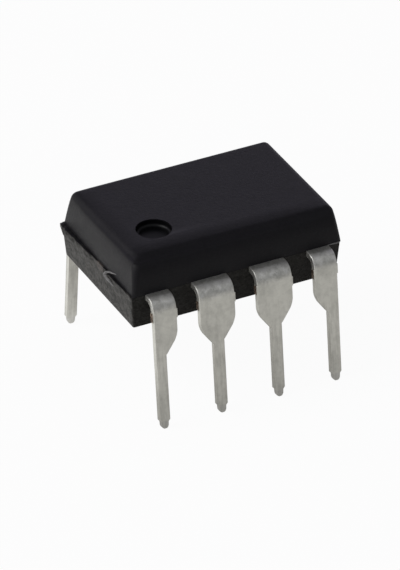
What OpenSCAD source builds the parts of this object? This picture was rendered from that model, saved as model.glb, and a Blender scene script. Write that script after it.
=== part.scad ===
// Eight-lead dual in-line package, standing on its lead tips.
// The moulded body grips eight formed leads, and holds the die, its paddle and its bond wires.
// X runs along the body, Y across the two rows, Z up from the lead tips.
// Lead 1 is at -X, -Y, under the round mark, and the numbers run anticlockwise seen from above.

/* [Body] */
// Width across the two rows, at the parting line
body_w = 6.35; // [6.1:0.05:7]
// Distance from the last lead's centre line to the end of the body
end_margin = 0.79; // [0.7:0.01:1.1]
// Height of the moulding above the parting line
upper_h = 1.48; // [1.3:0.01:2]
// Height of the moulding below the parting line
lower_h = 1.5; // [1.3:0.01:2]
// Height of the body's underside above the lead tips
stand_h = 4.11; // [3.8:0.01:4.6]
// Slope of the sides above the parting line, in degrees
upper_draft = 7; // [4:0.5:10]
// Slope of the sides below the parting line, in degrees
lower_draft = 4; // [2:0.5:8]
// Radius of the edges round the top
edge_r = 0.28; // [0.15:0.01:0.4]
// Radius of the edges round the underside
base_edge_r = 0.1; // [0.06:0.01:0.2]
// Radius of the upper half's four upright corners, at the parting line
corner_r = 0.16; // [0.08:0.01:0.3]
// Radius of the lower half's four upright corners, at the parting line
base_corner_r = 0.06; // [0.04:0.01:0.12]
// Step along X between the two halves of the moulding
half_shift = 0.07; // [0:0.01:0.1]

/* [Marks] */
// Diameter of the round mark beside lead 1
mark_d = 1.45; // [1.2:0.05:1.7]
// Depth of the round mark
mark_depth = 0.3; // [0.1:0.01:0.4]
// Distance of the mark's centre from the end of the body
mark_from_end = 1.98; // [1.5:0.01:2.4]
// Distance of the mark's centre from the near side of the body
mark_from_side = 2.1; // [1.6:0.01:3]
// Diameter of the ejector marks on the underside
ejector_d = 1.3; // [1:0.05:1.6]
// Depth of the ejector marks
ejector_depth = 0.08; // [0.04:0.01:0.12]
// Distance between the two ejector marks
ejector_gap = 4.6; // [3.5:0.1:5]

/* [Parting lip] */
// Reach of the moulded lip at the far corner of the marked end
lip_reach = 0.19; // [0.12:0.01:0.24]
// Reach of the lip beside the tie bar
lip_mid = 0.13; // [0.08:0.01:0.18]
// Reach of the lip at its end near the marked corner
lip_low = 0.08; // [0.06:0.01:0.12]
// Gap between the tie bar and the near part of the lip
lip_gap = 0.4; // [0.1:0.05:0.5]
// Distance from the near side of the body to the end of the lip
lip_end = 0.45; // [0.3:0.05:0.8]
// Thickness of the lip's outer edge
lip_edge_h = 0.14; // [0.08:0.01:0.18]
// Thickness of the lip where it joins the body
lip_root_h = 0.58; // [0.45:0.01:0.68]

/* [Leads] */
// Distance between neighbouring leads
pitch = 2.54; // [2.4:0.01:2.7]
// Thickness of the lead frame's sheet
sheet = 0.25; // [0.2:0.01:0.3]
// Width of a lead's shoulder
shoulder_w = 1.54; // [1.3:0.01:1.7]
// Width of a lead's pin
pin_w = 0.46; // [0.4:0.01:0.56]
// Height of the pin from its tip to the shoulder
pin_h = 3.2; // [2.9:0.01:3.5]
// Height of the slope from the pin to the full shoulder
slope_h = 0.68; // [0.55:0.01:0.9]
// Height by which a shoulder's slope stands above the middle one on its +X side, and below it on the other
slope_skew = 0.06; // [0:0.01:0.1]
// Radius of the shoulder's lower corners
shoulder_r = 0.9; // [0.3:0.05:1]
// Width of the narrow nub at the end of a pin
tip_w = 0.3; // [0.24:0.01:0.37]
// Height at which a pin starts to narrow
tip_h = 0.34; // [0.27:0.01:0.5]
// Height of the nub's straight sides
nub_h = 0.18; // [0.12:0.01:0.22]
// Straight run of a lead outside the body, before its bend
run_out = 0.22; // [0.1:0.01:0.4]
// Inside radius of the bend
bend_r = 0.25; // [0.2:0.01:0.35]
// Angle by which the legs spread, in degrees
splay = 5.8; // [2:0.1:8]
// Reach of the cut dam bar at each side of a lead
dam_reach = 0.02; // [0.01:0.005:0.04]
// Height of the cut dam bar
dam_h = 0.34; // [0.25:0.01:0.45]

/* [Inside the body] */
// Width of a lead's neck, where the wire is bonded
neck_w = 0.8; // [0.6:0.01:0.9]
// Depth of the full-width part of a lead inside the body
grip = 1.05; // [0.9:0.01:1.1]
// Diameter of the hole that anchors a lead in the body
anchor_d = 0.5; // [0.4:0.01:0.6]
// Depth of the anchor hole's centre inside the body
anchor_in = 0.55; // [0.5:0.01:0.65]
// Length of the die paddle, along the body
paddle_l = 3.5; // [3:0.1:3.8]
// Width of the die paddle
paddle_w = 2.5; // [2.2:0.1:2.7]
// Depth of the paddle below the leads
downset = 0.3; // [0.27:0.01:0.35]
// Gap between the paddle and the leads round it
paddle_gap = 0.26; // [0.2:0.01:0.3]
// Width of the tie bar's end, which shows at each end of the body
tie_w = 0.55; // [0.45:0.05:0.7]
// Width of the tie bar near the paddle
tie_neck_w = 0.45; // [0.35:0.05:0.55]
// Distance of the tie bars from the body's middle, towards the near row
tie_shift = 0.33; // [0.2:0.01:0.45]
// Length of the die
die_l = 2; // [1.6:0.1:2.3]
// Width of the die
die_w = 1.7; // [1.4:0.1:1.8]
// Thickness of the die
die_h = 0.3; // [0.25:0.01:0.38]
// Thickness of the bonding layer under the die
attach_h = 0.03; // [0.02:0.005:0.05]
// Width of the bonding layer that shows round the die
attach_edge = 0.06; // [0.04:0.01:0.1]
// Diameter of a bond wire
wire_d = 0.034; // [0.03:0.001:0.05]
// Height of a wire's loop above the die
loop_h = 0.3; // [0.25:0.01:0.4]
// Diameter of the ball that ends a wire on the die
ball_d = 0.09; // [0.08:0.005:0.12]
// Distance from the die's edge to the middle of a ball
bond_in = 0.12; // [0.1:0.01:0.16]

/* [Hidden] */
leads_per_row = 4;
lead_count = 2 * leads_per_row;

half_l = (leads_per_row - 1) / 2 * pitch + end_margin;
half_w = body_w / 2;
part_z = stand_h + lower_h;
top_z = part_z + upper_h;
sheet_z = part_z - sheet;
bend_z = sheet_z - bend_r;
outer_r = bend_r + sheet;

// The halves are moved apart along X, the upper one away from the marked end.
marked_end = half_l - half_shift / 2;

top_fn = 32;
base_fn = 16;
round_fn = 64;
corner_steps = 8;

// The parting land is the thin upright band where the two mould halves meet.
land_h = 0.02;

// The last edge of the pin's nub is broken.
tip_chamfer = 0.05;
shoulder_step = 0.05;

// A wire is a tube of rings: two for its ball, one for its neck and the rest along its loop.
wire_sides = 6;
loop_steps = 8;
ball_h = 0.02;
stitch_stretch = 1.4;
paddle_z = part_z - downset;
die_z = paddle_z + attach_h;
die_top_z = die_z + die_h;

// Points of an arc about c, from angle a0 to angle a1.
function arc(c, r, a0, a1, steps) = [
    for (k = [0 : steps])
    let (a = a0 + (a1 - a0) * k / steps)
    c + r * [cos(a), sin(a)]
];

// The corner b between a and c, rounded to radius r.
function rounded(a, b, c, r, steps) =
    let (
        u = (a - b) / norm(a - b),
        v = (c - b) / norm(c - b),
        half = acos(u * v) / 2,
        centre = b + (u + v) / norm(u + v) * r / sin(half),
        foot_u = b + u * r / tan(half) - centre,
        foot_v = b + v * r / tan(half) - centre,
        a0 = atan2(foot_u[1], foot_u[0]),
        turn = atan2(foot_v[1], foot_v[0]) - a0,
        short = turn > 180 ? turn - 360 : turn < -180 ? turn + 360 : turn
    )
    arc(centre, r, a0, a0 + short, steps);

function backwards(list) = [for (k = [len(list) - 1 : -1 : 0]) list[k]];

// Leads 1 to 4 are the near row, from -X to +X, and 5 to 8 the far row, from +X to -X.
function is_near(n) = n <= leads_per_row;
function column(n) = is_near(n) ? n - 1 : lead_count - n;
function lead_x(n) = (column(n) - (leads_per_row - 1) / 2) * pitch;
function is_last(n) = column(n) == 0 || column(n) == leads_per_row - 1;
function end_sign(n) = lead_x(n) < 0 ? -1 : 1;

// Half widths of a lead's shoulder, towards the body's end and towards its middle.
function outer_half(n) = is_last(n) ? pin_w / 2 : shoulder_w / 2;
inner_half = shoulder_w / 2;

// One side of a lead's front outline, from the bend down to the tip, as [half width, height].
function tip_side() = [
    [pin_w / 2, tip_h],
    [tip_w / 2, nub_h],
    [tip_w / 2, tip_chamfer],
    [tip_w / 2 - tip_chamfer, 0]
];

function dam_side(half) = [
    [half, part_z],
    [half, bend_z],
    [half + dam_reach, bend_z],
    [half + dam_reach, bend_z - dam_h],
    [half, bend_z - dam_h]
];

// The slope of a shoulder runs down to foot, the height where its pin starts.
function shoulder_side(half, foot) = concat(
    dam_side(half),
    rounded(
        [half, bend_z - dam_h],
        [half, foot + slope_h],
        [pin_w / 2 + shoulder_step, foot],
        shoulder_r,
        corner_steps
    ),
    [[pin_w / 2 + shoulder_step, foot], [pin_w / 2, foot]],
    tip_side()
);

function front_side(half, foot) =
    half > pin_w / 2 ? shoulder_side(half, foot) : concat(dam_side(half), tip_side());

// A lead's whole front outline, from the bend down its side at the body's end and up the other.
function front_outline(n) =
    let (
        sign = end_sign(n),
        outer = front_side(outer_half(n), pin_h + sign * slope_skew),
        inner = front_side(inner_half, pin_h - sign * slope_skew)
    )
    concat(
        [for (p = outer) [sign * p[0], p[1]]],
        [for (p = backwards(inner)) [-sign * p[0], p[1]]]
    );

// The bent strip seen from the end, with its distance from the body's middle along x.
function leg_top(r) = [half_w + run_out, bend_z] + r * [cos(splay), sin(splay)];
function leg_tip(r) = [leg_top(r)[0] + leg_top(r)[1] * tan(splay), 0];

module strip_profile() {
    translate([half_w, sheet_z])
    square([run_out, sheet]);

    translate([half_w + run_out, bend_z])
    intersection() {
        difference() {
            circle(r = outer_r, $fn = round_fn);
            circle(r = bend_r, $fn = round_fn);
        }
        polygon([
            [0, 0],
            2 * outer_r * [cos(splay), sin(splay)],
            2 * outer_r * [cos(splay), 1],
            [0, 2 * outer_r]
        ]);
    }
    polygon([leg_top(bend_r), leg_top(outer_r), leg_tip(outer_r), leg_tip(bend_r)]);
}

// A lead inside the body, seen from above: x from its own centre line, y from the body's middle.
neck_y = paddle_w / 2 + paddle_gap;
function straight_finger() = [
    [-inner_half, half_w],
    [-inner_half, half_w - grip],
    [-neck_w / 2, half_w - grip - (inner_half - neck_w / 2)],
    [-neck_w / 2, neck_y],
    [neck_w / 2, neck_y],
    [neck_w / 2, half_w - grip - (inner_half - neck_w / 2)],
    [inner_half, half_w - grip],
    [inner_half, half_w]
];

// The last lead of a row turns in towards the paddle's end and passes the tie bar.
last_x = (leads_per_row - 1) / 2 * pitch;
turn_x = last_x - paddle_l / 2 - paddle_gap;
pad_y = tie_shift + tie_w / 2 + paddle_gap;
function turned_finger() = [
    [pin_w / 2, half_w],
    [pin_w / 2, half_w - grip],
    [-turn_x + neck_w, pad_y],
    [-turn_x, pad_y],
    [-turn_x, pad_y + neck_w],
    [-inner_half, half_w - grip],
    [-inner_half, half_w]
];

function finger(n) = is_last(n)
    ? [for (p = turned_finger()) [end_sign(n) * p[0], p[1]]]
    : straight_finger();

// Where a wire meets the die and its lead, as [x, y] in the near row's half turned to +Y.
function die_bond(n) = is_last(n)
    ? [end_sign(n) * (die_l / 2 - bond_in), die_w / 4]
    : [end_sign(n) * die_l / 4, die_w / 2 - bond_in];

function lead_bond(n) = is_last(n)
    ? [end_sign(n) * (last_x - turn_x + neck_w / 4), pad_y + neck_w / 2]
    : [lead_x(n), neck_y + neck_w / 4];

// A cubic curve through a and d, led by b and c.
function curve(a, b, c, d, t) =
    pow(1 - t, 3) * a + 3 * pow(1 - t, 2) * t * b + 3 * (1 - t) * pow(t, 2) * c + pow(t, 3) * d;
function curve_way(a, b, c, d, t) =
    let (v = pow(1 - t, 2) * (b - a) + 2 * (1 - t) * t * (c - b) + pow(t, 2) * (d - c))
    v / norm(v);

// Rings of a wire over a level distance: [place along, height], direction and radius.
function wire_rings(reach) =
    let (
        a = [0, die_top_z + ball_h + wire_d],
        b = [0, die_top_z + loop_h * 1.2],
        c = [reach * 0.55, die_top_z + loop_h * 1.25],
        d = [reach, part_z]
    )
    concat(
        [[[0, die_top_z], [0, 1], ball_d / 2], [[0, die_top_z + ball_h], [0, 1], ball_d / 2]],
        [
            for (k = [0 : loop_steps - 1])
            [curve(a, b, c, d, k / loop_steps), curve_way(a, b, c, d, k / loop_steps), wire_d / 2]
        ],
        [[d, [0, -1], wire_d / 2 * stitch_stretch]]
    );

function ring_points(start, way, ring) = [
    for (k = [0 : wire_sides - 1])
    let (
        a = 360 * k / wire_sides,
        side = [-way[1], way[0], 0] * cos(a) * ring[2],
        level = (ring[0][0] - ring[1][1] * sin(a) * ring[2]) * [way[0], way[1], 0],
        height = [0, 0, ring[0][1] + ring[1][0] * sin(a) * ring[2]]
    )
    [start[0], start[1], 0] + side + level + height
];

module wire_tube(start, end) {
    rings = wire_rings(norm(end - start));
    way = (end - start) / norm(end - start);
    points = [for (ring = rings) each ring_points(start, way, ring)];
    last = (len(rings) - 1) * wire_sides;
    polyhedron(
        points = points,
        faces = concat(
            [[for (k = [0 : wire_sides - 1]) k]],
            [
                for (r = [0 : len(rings) - 2], k = [0 : wire_sides - 1])
                let (next = (k + 1) % wire_sides, low = r * wire_sides, high = low + wire_sides)
                [low + next, low + k, high + k, high + next]
            ],
            [[for (k = [wire_sides - 1 : -1 : 0]) last + k]]
        )
    );
}

module bond_wire(n) {
    color("gold")
    mirror([0, is_near(n) ? 1 : 0, 0])
    wire_tube(die_bond(n), lead_bond(n));
}

// Places a lead's parts at its own centre line, on its own side of the body.
module at_lead(n) {
    mirror([0, is_near(n) ? 1 : 0, 0])
    translate([lead_x(n), 0, 0])
    children();
}

// The flat part of a lead that the body grips.
module lead_finger(n) {
    at_lead(n)
    difference() {
        translate([0, 0, sheet_z])
        linear_extrude(sheet)
        polygon(finger(n));

        translate([end_sign(n) * (outer_half(n) - inner_half) / 2, half_w - anchor_in, sheet_z - sheet])
        cylinder(d = anchor_d, h = 3 * sheet, $fn = round_fn);
    }
}

// The part of a lead outside the body: the bend, the shoulder and the pin.
module lead_leg(n) {
    at_lead(n)
    intersection() {
        translate([-shoulder_w, 0, 0])
        rotate([90, 0, 90])
        linear_extrude(2 * shoulder_w)
        strip_profile();

        translate([0, 2 * body_w, 0])
        rotate([90, 0, 0])
        linear_extrude(2 * body_w)
        polygon(front_outline(n));
    }
}

module lead(n) {
    color("silver") {
        lead_finger(n);
        lead_leg(n);
    }
}

// The tie bars are cut flush with the lower half.
function tie_end(side) = half_l - side * half_shift / 2;

// One tie bar from the side, from the paddle's end up to the body's end.
function tie_strip(side) =
    let (
        low = paddle_l / 2,
        high = low + downset + sheet
    )
    [
        [low - sheet, paddle_z - sheet],
        [low, paddle_z - sheet],
        [high, sheet_z],
        [tie_end(side), sheet_z],
        [tie_end(side), part_z],
        [high - sheet / 2, part_z],
        [low - sheet / 2, paddle_z],
        [low - sheet, paddle_z]
    ];

module die_paddle() {
    color("peru") {
        translate([-paddle_l / 2, -paddle_w / 2, paddle_z - sheet])
        cube([paddle_l, paddle_w, sheet]);

        for (side = [-1, 1])
        mirror([side < 0 ? 1 : 0, 0, 0]) {
            translate([0, tie_neck_w / 2 - tie_shift, 0])
            rotate([90, 0, 0])
            linear_extrude(tie_neck_w)
            polygon(tie_strip(side));

            translate([last_x, -tie_w / 2 - tie_shift, sheet_z])
            cube([tie_end(side) - last_x, tie_w, sheet]);
        }
    }
}

module die_attach() {
    color("lightgray")
    translate([-die_l / 2 - attach_edge, -die_w / 2 - attach_edge, paddle_z])
    cube([die_l + 2 * attach_edge, die_w + 2 * attach_edge, attach_h]);
}

module die() {
    color("slategray")
    translate([-die_l / 2, -die_w / 2, die_z])
    cube([die_l, die_w, die_h]);
}

// A dome of radius r on a flat base.
module dome(r, fn) {
    rotate_extrude($fn = fn)
    polygon(concat([[0, 0]], arc([0, 0], r, 0, 90, fn / 4)));
}

// One half of the moulding, from the parting line up: sloped sides, edges rounded to radius r.
module mould_half(h, r, draft, corner, fn) {
    rise = h - r;
    inset = rise * tan(draft) + r / cos(draft);
    hull()
    for (sx = [-1, 1], sy = [-1, 1]) {
        translate([sx * (half_l - corner), sy * (half_w - corner), 0])
        cylinder(r = corner, h = land_h, $fn = fn);

        translate([sx * (half_l - inset), sy * (half_w - inset), rise])
        dome(r, fn);
    }
}

// A wedge of plastic left along the marked end, from y = from to y = to.
module lip(from, to, reach_from, reach_to) {
    root = half_l - corner_r;
    mirror([1, 0, 0])
    intersection() {
        translate([0, 0, part_z - lip_root_h])
        linear_extrude(lip_root_h)
        polygon([
            [root, from],
            [marked_end + reach_from, from],
            [marked_end + reach_to, to],
            [root, to]
        ]);

        translate([0, body_w, part_z])
        rotate([90, 0, 0])
        linear_extrude(2 * body_w)
        polygon([
            [root, 0],
            [marked_end + lip_reach, 0],
            [marked_end + lip_reach, -lip_edge_h],
            [half_l, -lip_root_h],
            [root, -lip_root_h]
        ]);
    }
}

module moulded_body() {
    color("dimgray")
    difference() {
        union() {
            translate([half_shift / 2, 0, part_z])
            mould_half(upper_h, edge_r, upper_draft, corner_r, top_fn);

            translate([-half_shift / 2, 0, part_z])
            mirror([0, 0, 1])
            mould_half(lower_h, base_edge_r, lower_draft, base_corner_r, base_fn);

            lip(tie_w / 2 - tie_shift, half_w - base_corner_r / 2, lip_mid, lip_reach);
            lip(-tie_w / 2 - tie_shift - lip_gap, lip_end - half_w, lip_reach, lip_low);
        }

        translate([-half_l + mark_from_end, -half_w + mark_from_side, top_z - mark_depth])
        cylinder(d = mark_d, h = mark_depth + edge_r, $fn = round_fn);

        for (side = [-1, 1])
        translate([side * ejector_gap / 2, 0, stand_h - edge_r])
        cylinder(d = ejector_d, h = ejector_depth + edge_r, $fn = round_fn);

        for (n = [1 : lead_count]) {
            lead_finger(n);
            bond_wire(n);
        }
        die_paddle();
        die_attach();
        die();
    }
}

moulded_body();
lead(1);  // lead_1
lead(2);  // lead_2
lead(3);  // lead_3
lead(4);  // lead_4
lead(5);  // lead_5
lead(6);  // lead_6
lead(7);  // lead_7
lead(8);  // lead_8
die_paddle();
die_attach();
die();
bond_wire(1);  // bond_wire_1
bond_wire(2);  // bond_wire_2
bond_wire(3);  // bond_wire_3
bond_wire(4);  // bond_wire_4
bond_wire(5);  // bond_wire_5
bond_wire(6);  // bond_wire_6
bond_wire(7);  // bond_wire_7
bond_wire(8);  // bond_wire_8
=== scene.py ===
"""Dresses an eight-lead dual in-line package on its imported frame.

X runs along the body, Y across the two rows of leads and Z up from the lead tips.
Sizes are in millimetres, and each mesh is brought to metres when it is finished.
"""

import logging
import math
from dataclasses import dataclass, field
from enum import Enum
from typing import Any, Callable, Optional, Sequence, Union

import bmesh
import bpy
from mathutils import Matrix, Vector, noise


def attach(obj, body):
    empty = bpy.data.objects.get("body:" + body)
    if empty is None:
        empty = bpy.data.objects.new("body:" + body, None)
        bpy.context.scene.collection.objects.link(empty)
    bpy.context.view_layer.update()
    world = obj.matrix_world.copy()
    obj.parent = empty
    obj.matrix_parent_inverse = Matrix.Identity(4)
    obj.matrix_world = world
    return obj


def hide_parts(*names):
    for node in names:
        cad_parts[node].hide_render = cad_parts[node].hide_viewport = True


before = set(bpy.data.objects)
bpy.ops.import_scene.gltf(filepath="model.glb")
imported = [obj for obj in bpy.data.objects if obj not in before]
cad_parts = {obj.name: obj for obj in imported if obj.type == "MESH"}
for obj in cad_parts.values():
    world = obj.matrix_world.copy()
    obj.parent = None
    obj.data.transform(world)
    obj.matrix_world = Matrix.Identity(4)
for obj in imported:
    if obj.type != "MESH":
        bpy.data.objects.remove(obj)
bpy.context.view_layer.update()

MM = 0.001
BODY = "root"
SHARP_TURN = math.radians(60)
LOG = logging.getLogger("dual_in_line_package")

Colour = tuple[float, float, float]
Number = Union[float, "Signal"]


class Signal:
    """A number that runs through a node tree, with Python's arithmetic."""

    def __init__(self, recipe: "Recipe", socket: bpy.types.NodeSocket) -> None:
        """Wraps an output socket of one of the recipe's nodes."""
        self.recipe = recipe
        self.socket = socket

    def _math(self, operation: str, first: Number, second: Number) -> "Signal":
        """Adds a Math node.

        Args:
            operation: The node's operation.
            first: Its first value.
            second: Its second value.

        Returns:
            The node's result.
        """
        return self.recipe.number(
            "ShaderNodeMath", {"operation": operation}, {0: first, 1: second}
        )

    def __add__(self, other: Number) -> "Signal":
        """Adds another number."""
        return self._math("ADD", self, other)

    def __radd__(self, other: Number) -> "Signal":
        """Is added to another number."""
        return self._math("ADD", other, self)

    def __sub__(self, other: Number) -> "Signal":
        """Takes another number away."""
        return self._math("SUBTRACT", self, other)

    def __rsub__(self, other: Number) -> "Signal":
        """Is taken away from another number."""
        return self._math("SUBTRACT", other, self)

    def __mul__(self, other: Number) -> "Signal":
        """Multiplies by another number."""
        return self._math("MULTIPLY", self, other)

    def __rmul__(self, other: Number) -> "Signal":
        """Multiplies another number."""
        return self._math("MULTIPLY", other, self)

    def __pow__(self, other: Number) -> "Signal":
        """Is raised to a power."""
        return self._math("POWER", self, other)

    def __rpow__(self, other: Number) -> "Signal":
        """Is the power that another number is raised to."""
        return self._math("POWER", other, self)

    def ramp(self, low: float, high: float) -> "Signal":
        """Rises smoothly from 0 at low to 1 at high, or falls if low is above high."""
        return self.recipe.number(
            "ShaderNodeMapRange",
            {"interpolation_type": "SMOOTHSTEP"},
            {"Value": self, "From Min": low, "From Max": high},
        )


class Recipe:
    """The node tree of one procedural material, or of the room's light."""

    def __init__(self, name: str, room: bool = False) -> None:
        """Starts an empty node tree.

        Args:
            name: The name of the new material or world.
            room: Whether it is the world, not a material.
        """
        kind = bpy.data.worlds if room else bpy.data.materials
        self.holder = kind.new(name)
        self.holder.use_nodes = True
        self.tree = self.holder.node_tree
        self.tree.nodes.clear()
        self.output = self.node(
            "ShaderNodeOutputWorld" if room else "ShaderNodeOutputMaterial"
        )
        place = self.node("ShaderNodeTexCoord").outputs["Object"]
        self.place = self.node(
            "ShaderNodeVectorMath",
            {"operation": "SCALE"},
            {"Vector": place, "Scale": 1 / MM},
        ).outputs["Vector"]

    def node(
        self,
        kind: str,
        settings: Optional[dict[str, Any]] = None,
        inputs: Optional[dict[Union[int, str], Any]] = None,
    ) -> bpy.types.Node:
        """Adds one node.

        Args:
            kind: The node's type.
            settings: The node's own properties, which are set first.
            inputs: Values or links of its input sockets, by name or number.

        Returns:
            The new node.
        """
        node = self.tree.nodes.new(kind)
        for name, setting in (settings or {}).items():
            setattr(node, name, setting)
        for key, value in (inputs or {}).items():
            source = value.socket if isinstance(value, Signal) else value
            if isinstance(source, bpy.types.NodeSocket):
                self.tree.links.new(source, node.inputs[key])
            else:
                node.inputs[key].default_value = source
        return node

    def number(
        self,
        kind: str,
        settings: dict[str, Any],
        inputs: dict[Union[int, str], Any],
        output: Union[int, str] = 0,
    ) -> Signal:
        """Adds one node and returns one of its outputs as a number."""
        return Signal(self, self.node(kind, settings, inputs).outputs[output])

    def stretched(self, scale: Sequence[float]) -> bpy.types.NodeSocket:
        """Gives the place in millimetres, multiplied along each axis."""
        return self.node(
            "ShaderNodeMapping",
            {"vector_type": "POINT"},
            {"Vector": self.place, "Scale": tuple(scale)},
        ).outputs["Vector"]

    def noise(
        self,
        scale: float,
        detail: float = 2.0,
        rough: float = 0.5,
        along: Sequence[float] = (1.0, 1.0, 1.0),
        twist: float = 0.0,
    ) -> Signal:
        """Adds smooth noise around 0.5.

        Args:
            scale: Lumps per millimetre.
            detail: Number of finer layers.
            rough: Strength of the finer layers.
            along: How much faster it varies along each axis.
            twist: How far it is distorted.

        Returns:
            The noise.
        """
        return self.number(
            "ShaderNodeTexNoise",
            {"noise_dimensions": "3D"},
            {
                "Vector": self.stretched(along),
                "Scale": scale,
                "Detail": detail,
                "Roughness": rough,
                "Distortion": twist,
            },
        )

    def cells(
        self,
        scale: float,
        along: Sequence[float] = (1.0, 1.0, 1.0),
        measure: str = "EUCLIDEAN",
    ) -> Signal:
        """Gives the distance to the nearest of many scattered points.

        Args:
            scale: Points per millimetre.
            along: How much closer together they are along each axis.
            measure: How the distance is measured.

        Returns:
            The distance, where 1 is about one step between points.
        """
        return self.number(
            "ShaderNodeTexVoronoi",
            {"feature": "F1", "distance": measure},
            {"Vector": self.stretched(along), "Scale": scale},
            "Distance",
        )

    def axis(self, letter: str) -> Signal:
        """Gives one coordinate of the place, in millimetres."""
        return self.number(
            "ShaderNodeSeparateXYZ", {}, {"Vector": self.place}, letter.upper()
        )

    def facing(self, letter: str) -> Signal:
        """Gives one component of the surface's direction."""
        normal = self.node("ShaderNodeTexCoord").outputs["Normal"]
        return self.number(
            "ShaderNodeSeparateXYZ", {}, {"Vector": normal}, letter.upper()
        )

    def mixed(
        self, factor: Number, first: Any, second: Any, mode: str = "MIX"
    ) -> bpy.types.NodeSocket:
        """Mixes two colours.

        Args:
            factor: The share of the second one.
            first: A colour or a colour socket.
            second: A colour or a colour socket.
            mode: How the second one is laid over the first.

        Returns:
            The mixed colour.
        """
        first, second = (
            (*c, 1.0) if isinstance(c, tuple) else c for c in (first, second)
        )
        return self.node(
            "ShaderNodeMix",
            {"data_type": "RGBA", "blend_type": mode, "clamp_factor": True},
            {0: factor, 6: first, 7: second},
        ).outputs[2]

    def toned(self, colour: Any, tone: Signal) -> bpy.types.NodeSocket:
        """Multiplies a colour by a number."""
        grey = self.node("ShaderNodeCombineColor", {}, {0: tone, 1: tone, 2: tone})
        return self.mixed(1.0, colour, grey.outputs[0], "MULTIPLY")

    def bump(
        self,
        height: Signal,
        depth: float,
        under: Optional[bpy.types.NodeSocket] = None,
    ) -> bpy.types.NodeSocket:
        """Turns heights into relief.

        Args:
            height: The heights, between 0 and 1.
            depth: Millimetres from 0 to 1.
            under: The relief that this one is laid over, if there is one.

        Returns:
            The surface's direction.
        """
        inputs = {"Strength": 1.0, "Distance": depth * MM, "Height": height}
        if under is not None:
            inputs["Normal"] = under
        return self.node("ShaderNodeBump", {}, inputs).outputs["Normal"]

    def finish(self, **sockets: Any) -> bpy.types.Material:
        """Adds the Principled shader.

        Args:
            sockets: Its sockets' values or links, with underscores for spaces.

        Returns:
            The finished material.
        """
        inputs = {
            name.replace("_", " "): (*value, 1.0) if isinstance(value, tuple) else value
            for name, value in sockets.items()
        }
        return self.surface(self.node("ShaderNodeBsdfPrincipled", {}, inputs))

    def surface(self, shader: bpy.types.Node) -> Any:
        """Links a shader to the output, and returns the finished material or world."""
        self.tree.links.new(shader.outputs[0], self.output.inputs["Surface"])
        return self.holder

    def seen(self, mirrored: float) -> Signal:
        """Tells which rays see a backdrop.

        Args:
            mirrored: The share for the rays that gloss or glass sends.

        Returns:
            1 for the camera's rays, that share for those, and 0 for the rest.
        """
        rays = self.node("ShaderNodeLightPath").outputs
        camera, glossy, through = (
            Signal(self, rays[f"Is {kind} Ray"])
            for kind in ("Camera", "Glossy", "Transmission")
        )
        return camera + (glossy + through) * mirrored


@dataclass(frozen=True)
class MouldedEpoxy:
    """Black filled epoxy, finely grained above the parting line and coarse below it.

    Pale filler flecks the lower half. Its ends take far more flecks, as painted light
    that makes them look lit. The round marks were pressed by polished pins, so their
    floors are smooth and darker.
    """

    # the upper half's faint blue cast is a painted reflection of the sky
    upper: Colour = (0.0060, 0.0055, 0.0072)
    lower: Colour = (0.0062, 0.0054, 0.0040)
    pressed: Colour = (0.0020, 0.0020, 0.0025)
    filler: Colour = (0.135, 0.13, 0.117)
    top: float = 7.09
    parting: float = 5.61
    underside: float = 4.11
    mark: tuple[float, float, float] = (-2.62, -1.075, 0.725)
    grain: float = 24.0
    grain_depth: float = 0.010
    coarse_depth: float = 0.075
    sheen: float = 0.2
    name: str = "moulded_epoxy"

    def pressed_floors(self, r: Recipe) -> Signal:
        """Finds the floors of the round marks.

        Args:
            r: The material's recipe.

        Returns:
            1 on the floors and 0 elsewhere.
        """
        x, y, z = (r.axis(letter) for letter in "xyz")
        across, along, radius = self.mark
        away = ((x - across) ** 2 + (y - along) ** 2) ** 0.5
        mark = away.ramp(radius + 0.02, radius)
        mark = mark * z.ramp(self.top - 0.03, self.top - 0.08)
        down = r.facing("z").ramp(-0.6, -0.95)
        low = z.ramp(self.underside + 0.02, self.underside + 0.05)
        return mark + down * low * z.ramp(self.underside + 0.2, self.underside + 0.1)

    def material(self) -> bpy.types.Material:
        """Builds the material.

        Returns:
            The material.
        """
        r = Recipe(self.name)
        below = r.axis("z").ramp(self.parting + 0.01, self.parting - 0.03)
        side = 1 - (r.facing("z") ** 2).ramp(0.2, 0.8)
        pressed = self.pressed_floors(r)
        rough_skin = 1 - pressed
        cloud = r.noise(0.7, 3.0)
        patch = r.noise(2.4, 4.0, 0.6)
        grain = r.noise(self.grain, 3.0, 0.65)
        coarse = r.noise(7.5, 4.0, 0.7)
        blots = r.noise(13.0, 3.0, 0.7).ramp(0.42, 0.62)
        grit = r.noise(6.0, 3.0, 0.68, (1.0, 0.5, 1.0))
        flecks = grit.ramp(0.38, 0.64) * 0.8 + r.cells(9.0).ramp(0.36, 0.08) * 0.2
        # painted light: flecks are laid much thicker on faces that look along x, so the
        # ends look lit
        ends_flecked_as_painted_light = 0.25 + 0.75 * r.facing("x") ** 2
        pores = r.cells(7.0).ramp(0.11, 0.06) * r.noise(1.9, 1.0).ramp(0.5, 0.62)
        tone = 0.62 + 0.4 * cloud + 0.36 * patch + below * (blots - 0.4) * 0.9
        skin = r.toned(r.mixed(below, self.upper, self.lower), tone)
        bared = flecks * (0.012 + 0.5 * below * ends_flecked_as_painted_light) * rough_skin
        skin = r.mixed(bared, skin, self.filler)
        colour = r.mixed(pressed, skin, self.pressed)
        fine = (grain * (0.6 + 0.4 * side) - 0.7 * pores) * (1 - 0.85 * pressed)
        relief = r.bump(fine, self.grain_depth)
        lumps = coarse * (0.12 + 0.88 * below) * rough_skin
        relief = r.bump(lumps, self.coarse_depth, relief)
        rough = 0.44 + 0.14 * (patch - 0.5) + 0.1 * below * blots
        return r.finish(
            Base_Color=colour,
            Roughness=rough - 0.08 * pressed,
            Specular_IOR_Level=self.sheen,
            Normal=relief,
        )


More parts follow.
